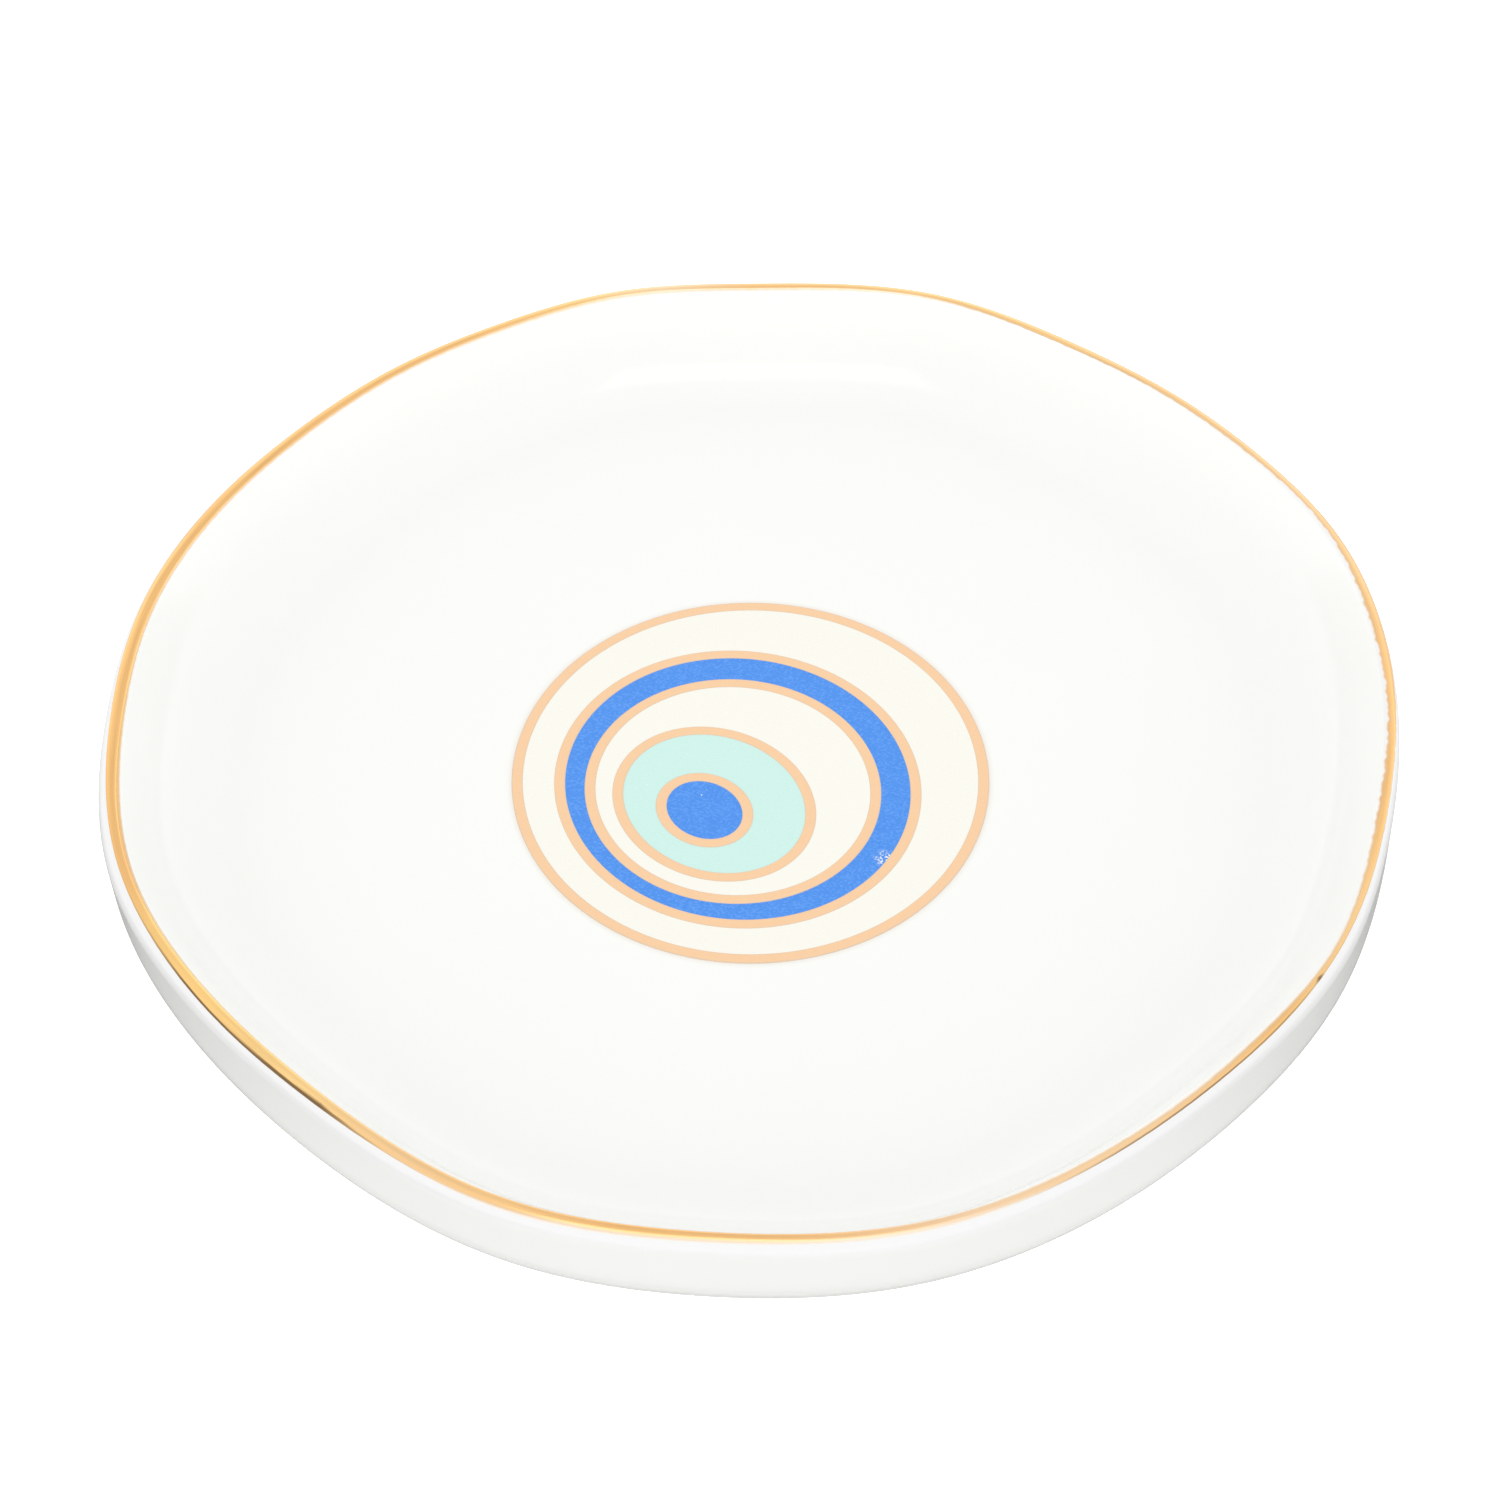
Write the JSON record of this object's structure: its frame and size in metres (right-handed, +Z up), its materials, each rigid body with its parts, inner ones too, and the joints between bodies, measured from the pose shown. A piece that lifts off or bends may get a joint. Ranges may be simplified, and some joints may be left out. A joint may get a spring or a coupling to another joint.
{
  "type": "ring dish",
  "caption": "Shallow round porcelain ring dish with a softly cornered, gold-lined rim and a nested-ring eye printed on its flat floor, for rings and small jewellery.",
  "frame": {"origin": "on the table, under the middle of the dish's outline", "axes": "+Z up, out of the well; the picture's camera looks along +Y from above, so +X is to its right; the printed eye looks towards -X and -Y"},
  "size_m": [0.1156, 0.1152, 0.0122],
  "materials": {
    "bare_porcelain": "fired, bare and slightly rough on the foot ring",
    "white_glaze": "clear gloss over white porcelain",
    "rim_gold": "bright fired gold, brushed on by hand",
    "outline_enamel": "satin tan printed line",
    "cream_enamel": "satin cream printed field",
    "blue_enamel": "satin blue printed field with a fine grain",
    "aqua_enamel": "satin pale aqua printed field"
  },
  "bodies": {
    "root": {"porcelain_body": "bare_porcelain", "glaze_coat": "white_glaze", "base_glaze": "white_glaze", "gold_rim_line": "rim_gold", "outer_outline": "outline_enamel", "outer_cream_field": "cream_enamel", "blue_ring_outer_outline": "outline_enamel", "blue_ring": "blue_enamel", "blue_ring_inner_outline": "outline_enamel", "inner_cream_field": "cream_enamel", "iris_outline": "outline_enamel", "aqua_iris": "aqua_enamel", "pupil_outline": "outline_enamel", "blue_pupil": "blue_enamel"}
  },
  "joints": []
}
